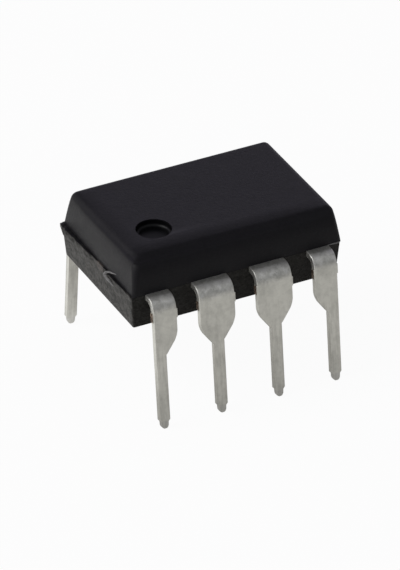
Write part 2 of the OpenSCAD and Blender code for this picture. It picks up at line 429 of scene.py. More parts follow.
@dataclass(frozen=True)
class TornResin:
    """Epoxy torn, not moulded: paler with its glass filler showing, plus a painted
    highlight.
    """

    # partly painted highlight: these colours are lighter than torn epoxy alone
    resin: Colour = (0.19, 0.185, 0.18)
    glass: Colour = (0.46, 0.455, 0.44)

    def material(self) -> bpy.types.Material:
        """Builds the material.

        Returns:
            The material.
        """
        r = Recipe("torn_resin_painted_highlight")
        chips = r.cells(22.0)
        lumps = r.noise(18.0, 3.0, 0.65)
        pale = chips.ramp(0.3, 0.1) * 0.5 + lumps.ramp(0.45, 0.7) * 0.4
        return r.finish(
            Base_Color=r.mixed(pale, self.resin, self.glass),
            Roughness=0.5 + 0.3 * lumps,
            Specular_IOR_Level=0.4,
            Normal=r.bump(chips + lumps, 0.02),
        )


@dataclass(frozen=True)
class TinPlate:
    """Matte tin: mottled on the shoulders, streaked on pins and scuffed on bends."""

    tin: Colour = (0.69, 0.685, 0.638)
    dull: Colour = (0.455, 0.452, 0.418)
    bright: Colour = (0.82, 0.81, 0.79)
    nub: Colour = (0.62, 0.615, 0.585)
    bend_end: float = 5.05
    shoulder_end: float = 3.6
    nub_top: float = 0.34
    streak_depth: float = 0.004
    scuff_depth: float = 0.006

    def material(self) -> bpy.types.Material:
        """Builds the material.

        Returns:
            The material.
        """
        r = Recipe("tin_plate")
        height = r.axis("z")
        bend = height.ramp(self.bend_end - 0.1, self.bend_end + 0.2)
        shoulder = height.ramp(self.shoulder_end - 0.4, self.shoulder_end + 0.2)
        nub = height.ramp(self.nub_top + 0.02, self.nub_top - 0.03)
        streaks = r.noise(8.0, 3.0, 0.6, (1.0, 1.0, 0.05))
        fine = r.noise(30.0, 2.0, 0.5, (1.0, 1.0, 0.06))
        crystals = r.noise(26.0, 3.0, 0.7)
        cloud = r.noise(1.4, 3.0, 0.55)
        mottle = r.noise(5.5, 4.0, 0.6, twist=0.5)
        patches = r.noise(3.2, 4.0, 0.62, (1.0, 1.0, 0.8), 0.4).ramp(0.36, 0.62)
        pits = r.cells(9.0).ramp(0.2, 0.1) * cloud.ramp(0.42, 0.6)
        worn = (
            cloud.ramp(0.4, 0.72) * 0.3
            + mottle.ramp(0.45, 0.66) * (0.16 + 0.22 * bend)
            + pits * (0.3 + 0.6 * bend)
        )
        rubbed = bend * mottle.ramp(0.5, 0.36) * 0.45
        colour = r.mixed(rubbed, r.mixed(worn, self.tin, self.dull), self.bright)
        colour = r.mixed(nub, colour, self.nub)
        lines = 0.16 * streaks + 0.11 * (streaks.ramp(0.4, 0.58) - 0.5) * (1 - shoulder)
        tone = 0.85 + lines + 0.1 * crystals
        tone = tone + (patches - 0.45) * (0.05 + 0.06 * shoulder + 0.06 * bend)
        rough = 0.4 + 0.12 * (cloud - 0.5) + 0.1 * streaks - 0.1 * rubbed + 0.12 * pits
        drawn = (streaks + 0.5 * fine) * (1 - bend) * (1 - nub)
        relief = r.bump(drawn + 0.6 * crystals, self.streak_depth)
        return r.finish(
            Base_Color=r.toned(colour, tone),
            Metallic=1 - 0.09 * bend,
            Roughness=rough,
            Normal=r.bump(
                (mottle - 0.6 * pits) * (0.35 + 0.65 * bend), self.scuff_depth, relief
            ),
        )


@dataclass(frozen=True)
class ShearedMetal:
    """Bare copper alloy where the frame was cut, torn in fine ridges and gone dull."""

    bright: Colour = (0.42, 0.33, 0.26)
    dark: Colour = (0.075, 0.052, 0.038)

    def material(self) -> bpy.types.Material:
        """Builds the material.

        Returns:
            The material.
        """
        r = Recipe("sheared_metal")
        ridges = r.noise(16.0, 3.0, 0.6, (1.0, 1.0, 0.2))
        stain = r.noise(12.0, 3.0, 0.65)
        return r.finish(
            Base_Color=r.mixed(stain.ramp(0.38, 0.52), self.bright, self.dark),
            Metallic=0.9,
            Roughness=0.42 + 0.2 * ridges,
            Normal=r.bump(ridges, 0.01),
        )


@dataclass(frozen=True)
class FrameCopper:
    """Copper alloy strip, rolled along X, and brown where its tie bars were cut."""

    clean: Colour = (0.58, 0.34, 0.22)
    stained: Colour = (0.26, 0.15, 0.10)
    cut: Colour = (0.060, 0.050, 0.043)
    cut_end: float = 4.5

    def material(self) -> bpy.types.Material:
        """Builds the material.

        Returns:
            The material.
        """
        r = Recipe("frame_copper")
        lines = r.noise(26.0, 2.0, 0.5, (0.04, 1.0, 1.0))
        stain = r.noise(2.2, 4.0, 0.6)
        torn = r.noise(14.0, 3.0, 0.65)
        cut = (r.axis("x") ** 2).ramp(self.cut_end**2 - 0.5, self.cut_end**2)
        bare = r.mixed(stain.ramp(0.45, 0.75), self.clean, self.stained)
        brown = r.toned(self.cut, 0.15 + 1.7 * torn.ramp(0.38, 0.62))
        return r.finish(
            Base_Color=r.mixed(cut, bare, brown),
            Metallic=1 - cut * 0.75,
            Roughness=0.3 + 0.18 * lines + 0.1 * stain + 0.15 * cut,
            Normal=r.bump(lines + 5 * cut * torn, 0.002),
        )


@dataclass(frozen=True)
class SilverPaste:
    """Silver-filled bonding layer, with flakes in a pale binder."""

    flake: Colour = (0.62, 0.62, 0.60)
    binder: Colour = (0.40, 0.39, 0.36)

    def material(self) -> bpy.types.Material:
        """Builds the material.

        Returns:
            The material.
        """
        r = Recipe("silver_paste")
        flakes = r.cells(34.0)
        lumps = r.noise(12.0, 3.0)
        return r.finish(
            Base_Color=r.mixed(flakes.ramp(0.2, 0.6), self.flake, self.binder),
            Metallic=0.35 + 0.4 * flakes.ramp(0.5, 0.2),
            Roughness=0.45 + 0.2 * lumps,
            Normal=r.bump(lumps + 0.5 * flakes, 0.008),
        )


@dataclass(frozen=True)
class PatternedSilicon:
    """Polished silicon with the fine blocks and lines of a generic circuit."""

    silicon: Colour = (0.17, 0.18, 0.22)
    metal: Colour = (0.50, 0.50, 0.52)
    field_tint: Colour = (0.20, 0.24, 0.27)

    def material(self) -> bpy.types.Material:
        """Builds the material.

        Returns:
            The material.
        """
        r = Recipe("patterned_silicon")
        top = r.facing("z").ramp(0.8, 0.95)
        blocks = r.cells(5.0, (1.0, 1.0, 0.0), "CHEBYCHEV")
        lines = r.noise(1.0, 0.0, 0.5, (38.0, 2.0, 0.0)).ramp(0.5, 0.54)
        tracks = blocks.ramp(0.44, 0.5) * lines * top
        fields = r.noise(3.2, 0.0, 0.5, (1.0, 1.0, 0.0)).ramp(0.48, 0.5) * top
        saw = r.noise(40.0, 2.0, 0.5, (1.0, 1.0, 0.05))
        colour = r.mixed(fields, self.silicon, self.field_tint)
        return r.finish(
            Base_Color=r.mixed(tracks, colour, self.metal),
            Metallic=0.55 + 0.4 * tracks,
            Roughness=0.12 + 0.1 * fields + 0.3 * (1 - top) * saw,
            Normal=r.bump(tracks + saw * (1 - top), 0.0015),
        )


@dataclass(frozen=True)
class DrawnGold:
    """Drawn gold wire, bright with faint lines and the dimples of the bonding tool."""

    gold: Colour = (0.83, 0.60, 0.22)
    shade: Colour = (0.70, 0.46, 0.15)

    def material(self) -> bpy.types.Material:
        """Builds the material.

        Returns:
            The material.
        """
        r = Recipe("drawn_gold")
        dents = r.noise(45.0, 2.0)
        return r.finish(
            Base_Color=r.mixed(dents, self.gold, self.shade),
            Metallic=1.0,
            Roughness=0.18 + 0.16 * dents,
            Normal=r.bump(dents, 0.001),
        )


@dataclass(frozen=True)
class StudioPaper:
    """White paper that the camera sees as plain white, with a trace of the shadow.

    What the object's gloss sees of it is painted: a painted pool of light behind the
    marked end, where the key light falls, and painted shade close to the object and far
    in front of it.
    """

    paper: Colour = (0.93, 0.93, 0.93)
    white: Colour = (1.0, 1.0, 1.0)
    # painted pool of light and painted shade, seen on the floor only by gloss
    painted_key_pool: Colour = (1.0, 0.995, 0.98)
    shade: Colour = (0.64, 0.63, 0.61)
    glow: float = 0.95

    def material(self) -> bpy.types.Material:
        """Builds the material.

        Returns:
            The material.
        """
        r = Recipe("studio_paper")
        x, y = r.axis("x"), r.axis("y")
        away = (x**2 + y**2) ** 0.5
        # painted shade: darker close to the object, where its shadow falls, and far in
        # front of it
        tone = 0.68 + 0.32 * away.ramp(5.0, 12.0) - 0.5 * away.ramp(18.0, 48.0)
        # painted pool of light behind the marked end, where the key lamp falls
        painted_pool_share = (0.4 * y - x).ramp(2.6, 7.2)
        painted_gloss_floor = r.mixed(painted_pool_share, r.toned(self.shade, tone), self.painted_key_pool)
        colour = r.mixed(r.seen(0.0), painted_gloss_floor, self.white)
        paper = r.node("ShaderNodeBsdfDiffuse", {}, {"Color": (*self.paper, 1.0)})
        glow = r.node("ShaderNodeEmission", {}, {"Color": colour, "Strength": 1.0})
        return r.surface(
            r.node(
                "ShaderNodeMixShader",
                {},
                {0: r.seen(1.0) * self.glow, 1: paper.outputs[0], 2: glow.outputs[0]},
            )
        )


@dataclass(frozen=True)
class StudioRoom:
    """A room with a pale back wall, a window low at its left and a dimmer ceiling."""

    light: Colour = (0.42, 0.425, 0.44)
    horizon: Colour = (0.22, 0.225, 0.24)
    ceiling: Colour = (0.15, 0.15, 0.165)
    wall: Colour = (0.59, 0.56, 0.68)
    window: Colour = (1.0, 0.98, 0.95)
    pale: Colour = (0.97, 0.97, 0.97)
    mirrored: float = 0.02

    def world(self) -> bpy.types.World:
        """Builds the world.

        Returns:
            The world.
        """
        r = Recipe("studio_room", room=True)
        x, y, z = (r.axis(letter) for letter in "xyz")
        above = y.ramp(-450.0, -50.0) * z.ramp(200.0, 600.0)
        light = r.mixed(z.ramp(250.0, 650.0), self.horizon, self.light)
        light = r.mixed(above, light, self.ceiling)
        light = r.mixed(y.ramp(-200.0, 400.0) * z.ramp(750.0, 480.0), light, self.wall)
        left = x.ramp(-250.0, -550.0) * y.ramp(200.0, 600.0) * z.ramp(600.0, 300.0)
        light = r.mixed(left, light, self.window)
        colour = r.mixed(r.seen(self.mirrored), light, self.pale)
        return r.surface(
            r.node("ShaderNodeBackground", {}, {"Color": colour, "Strength": 1.0})
        )


def merged_copy(node: str) -> bmesh.types.BMesh:
    """Copies a CAD node's mesh, with its loose triangles joined.

    Args:
        node: The node's name.

    Returns:
        Its mesh, in millimetres.
    """
    bm = bmesh.new()
    bm.from_mesh(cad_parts[node].data)
    bmesh.ops.scale(bm, vec=Vector((1, 1, 1)) / MM, verts=bm.verts)
    bmesh.ops.remove_doubles(bm, verts=bm.verts, dist=1e-4)
    bmesh.ops.dissolve_limit(
        bm, angle_limit=math.radians(0.5), verts=bm.verts, edges=bm.edges
    )
    return bm


def along_table(table: Sequence[tuple[float, float]], place: float) -> float:
    """Reads a table of places and values, on straight lines between its rows.

    Args:
        table: The places, in rising order, each with its value.
        place: The place to read at.

    Returns:
        The value there, which past the table's ends is that of its end row.
    """
    for (low, first), (high, second) in zip(table, table[1:]):
        if place <= high:
            share = min(max((place - low) / (high - low), 0.0), 1.0)
            return first + share * (second - first)
    return table[-1][1]


def round_edges(
    bm: bmesh.types.BMesh,
    edges: Sequence[bmesh.types.BMEdge],
    width: float,
    segments: int = 3,
) -> None:
    """Rounds some edges of a mesh.

    Args:
        bm: The mesh.
        edges: The edges to round.
        width: How far the rounding reaches from each edge.
        segments: The number of faces across it.
    """
    bmesh.ops.bevel(
        bm,
        geom=list(edges),
        offset=width,
        offset_type="OFFSET",
        affect="EDGES",
        segments=segments,
        profile=0.5,
        clamp_overlap=True,
        material=-1,
    )


def make_piece(
    bm: bmesh.types.BMesh,
    name: str,
    materials: Sequence[bpy.types.Material],
    sharp: float = 38.0,
) -> bpy.types.Object:
    """Turns a mesh in millimetres into a smooth-shaded object in metres.

    Args:
        bm: The mesh, which is freed.
        name: The object's name.
        materials: The materials that its faces name by number.
        sharp: The angle in degrees past which an edge stays sharp.

    Returns:
        The object, at the origin.
    """
    bmesh.ops.scale(bm, vec=Vector((MM, MM, MM)), verts=bm.verts)
    for face in bm.faces:
        face.smooth = True
    limit = math.radians(sharp)
    for edge in bm.edges:
        edge.smooth = edge.is_manifold and edge.calc_face_angle(0.0) < limit
    mesh = bpy.data.meshes.new(name)
    bm.to_mesh(mesh)
    bm.free()
    piece = bpy.data.objects.new(name, mesh)
    bpy.context.scene.collection.objects.link(piece)
    for material in materials:
        mesh.materials.append(material)
    weights = piece.modifiers.new("flat_faces_stay_flat", "WEIGHTED_NORMAL")
    weights.keep_sharp = True
    return piece


def dress(piece: bpy.types.Object, nodes: Sequence[str]) -> None:
    """Hangs a piece on the body, in place of the nodes that it stands for.

    Args:
        piece: The piece.
        nodes: The nodes that it replaces, if there are any.
    """
    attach(piece, BODY)
    if nodes:
        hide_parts(*nodes)
    LOG.info("%s: %d faces", piece.name, len(piece.data.polygons))


@dataclass
class Moulding:
    """The moulded body: its torn lip, curved upper walls, rolled top and round marks.

    The lip's table gives y and the share of the lip's reach that is left there. The
    tables of the lean, which grows towards the top, and of the crown's fades are for
    the marked end, by y, and for the near side, by x.
    """

    finish: MouldedEpoxy = field(default_factory=MouldedEpoxy)
    floor_finish: MouldedEpoxy = MouldedEpoxy(sheen=0.12, name="pressed_epoxy")
    mark_depth: float = 0.3
    ejector_depth: float = 0.08
    rim: float = 0.02
    fillet: float = 0.14
    end: float = 4.635
    draft: float = math.radians(4)
    lip: Sequence[tuple[float, float]] = (
        (-2.8, 0.0),
        (-2.5, 0.35),
        (-1.5, 0.5),
        (-1.1, 0.5),
        (-0.95, 0.2),
        (-0.5, 0.02),
        (0.35, 0.01),
        (0.6, 0.5),
        (0.8, 0.7),
        (2.4, 1.0),
        (3.2, 1.0),
    )
    lip_step: float = 0.07
    lip_drop: float = 0.6
    tear: float = 0.6
    tear_rate: float = 6.0
    sag: float = 0.08
    sag_rate: float = 5.0
    corner_dip: float = 0.07
    corner_fade: Sequence[tuple[float, float]] = ((-2.9, 1.0), (-2.4, 0.0))
    lean: Sequence[Sequence[tuple[float, float]]] = (
        ((-3.1, 0.22), (3.1, 0.08)),
        ((-4.5, 0.4), (4.6, 0.2)),
    )
    lean_power: int = 4
    lean_cuts: int = 9
    crown_band: float = 0.3
    crown_blend: float = 0.2
    crown_depth: float = 0.05
    crown_reach: float = 0.56
    crown_starts: tuple[float, float] = (-4.14, -2.745)
    crown_fades: Sequence[Sequence[tuple[float, float]]] = (
        ((1.6, 1.0), (2.9, 0.15)),
        ((2.6, 1.0), (4.3, 0.1)),
    )
    crown_steps: int = 9
    crown_most: float = 1.45
    fall_most: float = 2.3
    strip: float = 0.5
    strips: int = 9

    def hole_edges(self, bm: bmesh.types.BMesh, level: float) -> list:
        """Finds the sharp edges of the round holes at one height.

        Args:
            bm: The body's mesh.
            level: The height.

        Returns:
            The edges.
        """
        return [
            edge
            for edge in bm.edges
            if all(abs(v.co.z - level) < 1e-3 for v in edge.verts)
            and edge.calc_face_angle(0.0) > SHARP_TURN
        ]

    def cut(
        self,
        bm: bmesh.types.BMesh,
        within: Callable[[Vector], bool],
        axis: int,
        places: Sequence[float],
    ) -> None:
        """Cuts some of the body's faces straight across one axis.

        Args:
            bm: The body's mesh.
            within: Tells whether a place is in the part that is cut.
            axis: The axis, as 0, 1 or 2.
            places: Where the cuts lie along it.
        """
        for place in places:
            point, way = Vector(), Vector()
            point[axis], way[axis] = place, 1.0
            faces = [f for f in bm.faces if all(within(v.co) for v in f.verts)]
            bmesh.ops.bisect_plane(
                bm,
                geom=[
                    *{v for f in faces for v in f.verts},
                    *{e for f in faces for e in f.edges},
                    *faces,
                ],
                dist=1e-5,
                plane_co=point,
                plane_no=way,
            )

    def lean_walls(self, bm: bmesh.types.BMesh) -> None:
        """Curves the marked end and the near side of the upper half in towards the top.

        Args:
            bm: The body's mesh.
        """
        low, high = self.finish.parting, self.finish.top
        step = (high - self.mark_depth - 0.02 - low) / self.lean_cuts
        levels = [low + step * cut for cut in range(1, self.lean_cuts + 1)]
        self.cut(bm, lambda p: p.z > low - 1e-3, 2, levels)
        for vert in bm.verts:
            share = (vert.co.z - low) / (high - low)
            if share < 0.01:
                continue
            x, y = vert.co.x, vert.co.y
            for axis, other in ((0, y), (1, x)):
                if vert.co[axis] < self.crown_starts[axis] + 0.02:
                    reach = along_table(self.lean[axis], other)
                    vert.co[axis] += reach * share**self.lean_power

    def crown(self, bm: bmesh.types.BMesh) -> None:
        """Rolls the top down a little towards its marked end and its near edge.

        It fades out along both, before the corners that they share with others.

        Args:
            bm: The body's mesh.
        """
        level = self.finish.top - self.crown_band
        for axis, start in enumerate(self.crown_starts):
            width = self.crown_reach + self.lean[axis][0][1]
            step = width / self.crown_steps
            cuts = [start + step * cut for cut in range(self.crown_steps + 1)]
            self.cut(bm, lambda p: p.z > level, axis, cuts)
            end = start + width + 1e-3
            across = [
                self.strip * cut for cut in range(-self.strips, self.strips + 1)
            ]
            self.cut(bm, lambda p: p.z > level and p[axis] < end, 1 - axis, across)
        for vert in bm.verts:
            if vert.co.z < level:
                continue
            fall = 0.0
            for axis, start in enumerate(self.crown_starts):
                other = vert.co[1 - axis]
                start = start + along_table(self.lean[axis], other)
                share = (start + self.crown_reach - vert.co[axis]) / self.crown_reach
                fade = along_table(self.crown_fades[axis], other)
                fall += fade * min(max(share, 0.0), self.crown_most) ** 2
            share = min((vert.co.z - level) / self.crown_blend, 1.0)
            vert.co.z -= self.crown_depth * min(fall, self.fall_most) * share

    def tear_lip(self, bm: bmesh.types.BMesh) -> None:
        """Thins the parting lip to its table, tears its edge and dips its near corner.

        Args:
            bm: The body's mesh.
        """
        rows = int((self.lip[-1][0] - self.lip[0][0]) / self.lip_step) + 1
        cuts = [self.lip[0][0] + self.lip_step * row for row in range(rows)]
        self.cut(bm, lambda p: p.x < -self.end + 0.3, 1, cuts)
        parting = self.finish.parting
        for vert in bm.verts:
            wall = -self.end + (parting - vert.co.z) * math.tan(self.draft)
            proud = wall - vert.co.x
            drop = parting + 1e-3 - vert.co.z
            if proud < 0.004 or not 0 <= drop < self.lip_drop:
                continue
            y = vert.co.y
            torn = 1 + self.tear * noise.noise(Vector((0, y * self.tear_rate, 3.7)))
            sunk = noise.noise(Vector((5.1, y * self.sag_rate, 0)))
            vert.co.x = wall - proud * along_table(self.lip, y) * torn
            vert.co.z -= self.sag * max(sunk, 0)
        for vert in bm.verts:
            if vert.co.x < -self.end + 0.03 and abs(vert.co.z - parting) < 0.02:
                fade = along_table(self.corner_fade, vert.co.y)
                vert.co.z -= self.corner_dip * fade

    def build(self) -> None:
        """Makes the body from a copy of its node."""
        bm = merged_copy("moulded_body")
        self.tear_lip(bm)
        self.lean_walls(bm)
        self.crown(bm)
        top, base = self.finish.top, self.finish.underside
        round_edges(bm, self.hole_edges(bm, top - self.mark_depth), self.fillet, 6)
        round_edges(bm, self.hole_edges(bm, top), self.rim, 2)
        round_edges(bm, self.hole_edges(bm, base + self.ejector_depth), self.rim)
        round_edges(bm, self.hole_edges(bm, base), self.rim / 2, 2)
        for face in bm.faces:
            if all(abs(v.co.z - top + self.mark_depth) < 1e-3 for v in face.verts):
                face.material_index = 1
        finishes = [self.finish.material(), self.floor_finish.material()]
        piece = make_piece(bm, "moulding", finishes, 32.0)
        dress(piece, ["moulded_body"])


@dataclass
class TornRims:
    """The torn rims that the mould's gate and parting line left on the body.

    A rim is a flattened strand through its points, thin at both ends. Each point gives
    x, y, z and the half width there, in millimetres.
    """

    finish: TornResin = field(default_factory=TornResin)
    stand: float = 1.5
    sides: int = 10
    steps: int = 4
    rag: float = 0.012
    rag_rate: float = 14.0
    seed: int = 5
    gate: Sequence[tuple[float, float, float, float]] = (
        (-4.520, -1.66, 5.82, 0.010),
        (-4.535, -1.48, 5.765, 0.026),
        (-4.550, -1.27, 5.70, 0.034),
        (-4.575, -1.10, 5.65, 0.046),
        (-4.630, -1.00, 5.60, 0.058),
        (-4.680, -0.955, 5.545, 0.068),
        (-4.690, -0.975, 5.475, 0.068),
        (-4.680, -1.08, 5.42, 0.062),
        (-4.660, -1.24, 5.375, 0.058),
        (-4.645, -1.42, 5.33, 0.044),
        (-4.625, -1.66, 5.28, 0.014),
    )
    flash: Sequence[tuple[float, float, float, float]] = (
        (4.02, -3.170, 5.615, 0.012),
        (4.20, -3.185, 5.618, 0.020),
        (4.36, -3.190, 5.616, 0.024),
        (4.50, -3.175, 5.620, 0.020),
        (4.60, -3.120, 5.618, 0.010),
    )

    def through(self, points: Sequence[Sequence[float]]) -> list[Vector]:
        """Runs a smooth line through the points.

        Args:
            points: The points, each with its half width.

        Returns:
            More points, of the same four numbers.
        """
        rows = [Vector(p) for p in points]
        line = []
        for i in range(len(rows) - 1):
            before, a, b, after = (
                rows[max(i - 1, 0)],
                rows[i],
                rows[i + 1],
                rows[min(i + 2, len(rows) - 1)],
            )
            for step in range(self.steps):
                t = step / self.steps
                leave, arrive = t - 2 * t**2 + t**3, t**3 - t**2
                pull = (b - before) * leave + (after - a) * arrive
                line.append(a + (b - a) * (3 * t**2 - 2 * t**3) + pull / 2)
        return [*line, rows[-1]]

    def strand(
        self, points: Sequence[Sequence[float]], outwards: Vector
    ) -> bmesh.types.BMesh:
        """Makes a closed strand, deeper along the direction that it stands out in.

        Args:
            points: Its points and half widths.
            outwards: The direction that it stands out in.

        Returns:
            Its mesh.
        """
        bm = bmesh.new()
        line = self.through(points)
        rings = []
        for i, point in enumerate(line):
            place, half = point.to_3d(), point[3]
            before, after = line[max(i - 1, 0)], line[min(i + 1, len(line) - 1)]
            way = (after.to_3d() - before.to_3d()).normalized()
            across = way.cross(outwards).normalized()
            deep = across.cross(way)
            turn = Matrix((across * half, deep * half * self.stand, way)).transposed()
            made = bmesh.ops.create_circle(
                bm,
                segments=self.sides,
                radius=1.0,
                matrix=Matrix.Translation(place) @ turn.to_4x4(),
            )["verts"]
            rings.append([e for e in bm.edges if all(v in made for v in e.verts)])
        for low, high in zip(rings, rings[1:]):
            bmesh.ops.bridge_loops(bm, edges=[*low, *high])
        bmesh.ops.holes_fill(bm, edges=[*rings[0], *rings[-1]], sides=self.sides)
        noise.seed_set(self.seed)
        for vert in bm.verts:
            vert.co += self.rag * noise.noise_vector(vert.co * self.rag_rate)
        bmesh.ops.recalc_face_normals(bm, faces=bm.faces)
        return bm

    def build(self) -> None:
        """Makes the gate's rim at the marked end, and the flash near the other end."""
        finish = self.finish.material()
        for name, points, outwards in (
            ("gate_rim", self.gate, Vector((-1, 0, 0))),
            ("parting_flash", self.flash, Vector((0, -1, 0))),
        ):
            piece = make_piece(self.strand(points, outwards), name, [finish], 60.0)
            dress(piece, [])


class LeadPlace(Enum):
    """Where a lead stands in its row."""

    CORNER = "at the end of the row"
    INNER = "between two others"


@dataclass
class FormedLead:
    """A lead as it is made: blanked from sheet, then bent down over a tool.

    The blank lies level at its height in the body. Its x runs across the lead, with the
    body's end at +x, and its y runs along the lead, from the body's middle to the tip.
    """

    sheet: float = 0.25
    top: float = 5.61
    body_half: float = 3.175
    run_out: float = 0.22
    bend_r: float = 0.25
    bend_ease: float = math.radians(25)
    splay: float = math.radians(5.8)
    shoulder: float = 0.77
    pin: float = 0.23
    step: float = 0.05
    pin_top: float = 3.2
    shoulder_end: float = 3.88
    skew: float = 0.06
    shoulder_r: float = 0.9
    tip: Sequence[tuple[float, float]] = (
        (0.23, 0.38),
        (0.158, 0.29),
        (0.15, 0.13),
        (0.118, 0.05),
        (0.06, 0.0),
    )
    grip: float = 1.05
    neck: tuple[float, float] = (0.4, 0.37)
    inner_end: float = 1.51
    corner_end: Sequence[tuple[float, float]] = (
        (-1.8, 1.665),
        (-1.8, 0.865),
        (-1.0, 0.865),
    )
    anchor_r: float = 0.25
    anchor_in: float = 0.55
    dam: tuple[float, float] = (4.72, 5.12)
    dam_reach: float = 0.04
    dam_rag: float = 0.02
    dam_rag_rate: float = 9.0
    rolled_edge: float = 0.04
    cut_edge: float = 0.015
    bend_steps: int = 20
    arc_steps: int = 24

    @property
    def bend_start(self) -> float:
        """Distance along the blank where the bend starts."""
        return self.body_half + self.run_out

    @property
    def outer_r(self) -> float:
        """Outside radius of the bend."""
        return self.bend_r + self.sheet

    @property
    def bend_angle(self) -> float:
        """Angle that the lead is bent by."""
        return math.pi / 2 - self.splay

    @property
    def curved(self) -> float:
        """Length of the blank's top that the bend takes up."""
        return self.outer_r * (self.bend_angle + self.bend_ease)

    def turned(self, past: float) -> float:
        """Gives the angle that the bend has turned the blank by at some place.

        Args:
            past: The place's distance past the bend's start.

        Returns:
            The angle.
        """
        slack = (self.curved - past) / (2 * self.outer_r * self.bend_ease)
        if slack > 1:
            return max(past, 0.0) / self.outer_r
        return self.bend_angle - self.bend_ease * max(slack, 0.0) ** 2

    def bent(self, past: float) -> Vector:
        """Follows the blank's top round the bend.

        Args:
            past: The distance to follow it for, from the bend's start.

        Returns:
            The place that it comes to.
        """
        place = Vector((0, self.bend_start, self.top))
        step = min(past, self.curved) / self.arc_steps
        for i in range(self.arc_steps):
            angle = self.turned(step * (i + 0.5))
            place += step * Vector((0, math.cos(angle), -math.sin(angle)))
        rest = max(past - self.curved, 0.0)
        angle = self.bend_angle
        return place + rest * Vector((0, math.cos(angle), -math.sin(angle)))

    def along(self, height: float) -> float:
        """Gives a place's distance along the blank from its height below the bend."""
        left = self.bent(self.curved).z - height
        return self.bend_start + self.curved + left / math.cos(self.splay)

    def wide_side(self, lift: float) -> list[tuple[float, float]]:
        """Lists the corners of a side with a shoulder, from the body to the tip.

        Args:
            lift: How far its slope stands above the middle one.

        Returns:
            Half widths and distances along the blank.
        """
        foot = self.pin_top + lift
        return [
            (self.shoulder, self.along(self.shoulder_end + lift)),
            (self.pin + self.step, self.along(foot)),
            (self.pin, self.along(foot - self.step)),
            *self.narrow_side(),
        ]

    def narrow_side(self) -> list[tuple[float, float]]:
        """Lists the corners of a side without a shoulder, from the body to the tip."""
        return [(x, self.along(z)) for x, z in self.tip]

    def finger(self, place: LeadPlace) -> list[tuple[float, float]]:
        """Lists the corners of the part that the body grips, from -x to +x.

        Args:
            place: Where the lead stands in its row.

        Returns:
            Places across the lead and distances along the blank.
        """
        inner = self.body_half - self.grip
        if place is LeadPlace.CORNER:
            return [(-self.shoulder, inner), *self.corner_end, (self.pin, inner)]
        half, slope = self.neck
        side = [
            (self.shoulder, inner),
            (half, inner - slope),
            (half, self.inner_end),
        ]
        return [*((-x, y) for x, y in side), *reversed(side)]

    def blank(self, place: LeadPlace, lift: float) -> bmesh.types.BMesh:
        """Blanks the lead from the sheet, with its anchor hole.

        Args:
            place: Where the lead stands in its row.
            lift: How far the slope at +x stands above the middle one.

        Returns:
            The flat blank, as a closed solid.
        """
        corner = place is LeadPlace.CORNER
        plus = self.narrow_side() if corner else self.wide_side(lift)
        minus = [(-x, y) for x, y in reversed(self.wide_side(-lift))]
        bm = bmesh.new()
        verts = [
            bm.verts.new((x, y, self.top))
            for x, y in (*self.finger(place), *plus, *minus)
        ]
        outline = bm.faces.new(verts)
        turn = math.atan2(
            self.shoulder - self.pin - self.step,
            self.along(self.pin_top) - self.along(self.shoulder_end),
        )
        shoulders = [
            v
            for v in verts
            if abs(v.co.y - self.along(self.shoulder_end)) < 2 * abs(lift) + 1e-4
            and abs(abs(v.co.x) - self.shoulder) < 1e-4
        ]
        bmesh.ops.bevel(
            bm,
            geom=shoulders,
            offset=self.shoulder_r * math.tan(turn / 2),
            offset_type="OFFSET",
            affect="VERTICES",
            segments=8,
            profile=0.5,
            material=-1,
        )
        bmesh.ops.delete(bm, geom=bm.faces[:], context="FACES_ONLY")
        middle = (self.pin - self.shoulder) / 2 if corner else 0.0
        bmesh.ops.create_circle(
            bm,
            segments=32,
            radius=self.anchor_r,
            matrix=Matrix.Translation(
                (middle, self.body_half - self.anchor_in, self.top)
            ),
        )
        bmesh.ops.triangle_fill(bm, edges=bm.edges[:], use_beauty=True)
        bmesh.ops.recalc_face_normals(bm, faces=bm.faces)
        if bm.faces[0].normal.z < 0:
            bmesh.ops.reverse_faces(bm, faces=bm.faces[:])
        bmesh.ops.solidify(bm, geom=bm.faces[:], thickness=self.sheet)
        bmesh.ops.recalc_face_normals(bm, faces=bm.faces)
        bmesh.ops.dissolve_limit(
            bm, angle_limit=math.radians(0.1), verts=bm.verts, edges=bm.edges
        )
        return bm

    def by_anchor(self, vert: bmesh.types.BMVert) -> bool:
        """Tells whether a vertex of the blank is on the edge of its anchor hole."""
        away = abs(vert.co.y - self.body_half + self.anchor_in)
        return away < self.anchor_r + 0.01 and abs(vert.co.x) < self.shoulder - 0.05

    def outline_edges(self, bm: bmesh.types.BMesh, level: float) -> list:
        """Finds the edges of the blank's outline on its upper or lower face.

        Args:
            bm: The blank.
            level: The face's height.

        Returns:
            The edges.
        """
        return [
            e
            for e in bm.edges
            if all(abs(v.co.z - level) < 1e-4 for v in e.verts)
            and e.calc_face_angle(0.0) > SHARP_TURN
            and not all(self.by_anchor(v) for v in e.verts)
        ]

    def cut_across(self, bm: bmesh.types.BMesh, distance: float) -> None:
        """Cuts the blank's faces across at a distance along it."""
        bmesh.ops.bisect_plane(
            bm,
            geom=[*bm.verts, *bm.edges, *bm.faces],
            dist=1e-5,
            plane_co=(0, distance, 0),
            plane_no=(0, 1, 0),
        )

    def bend(self, bm: bmesh.types.BMesh) -> None:
        """Bends the blank down round its tool, and levels the tip.

        Args:
            bm: The blank.
        """
        for step in range(self.bend_steps + 1):
            share = step / self.bend_steps
            self.cut_across(bm, self.bend_start + share * self.curved)
        for vert in bm.verts:
            past = vert.co.y - self.bend_start
            if past <= 0:
                continue
            arm = Vector((vert.co.x, 0, vert.co.z - self.top))
            turn = Matrix.Rotation(-self.turned(past), 3, "X")
            vert.co = self.bent(past) + turn @ arm
        for vert in bm.verts:
            vert.co.z = max(vert.co.z, 0.0)

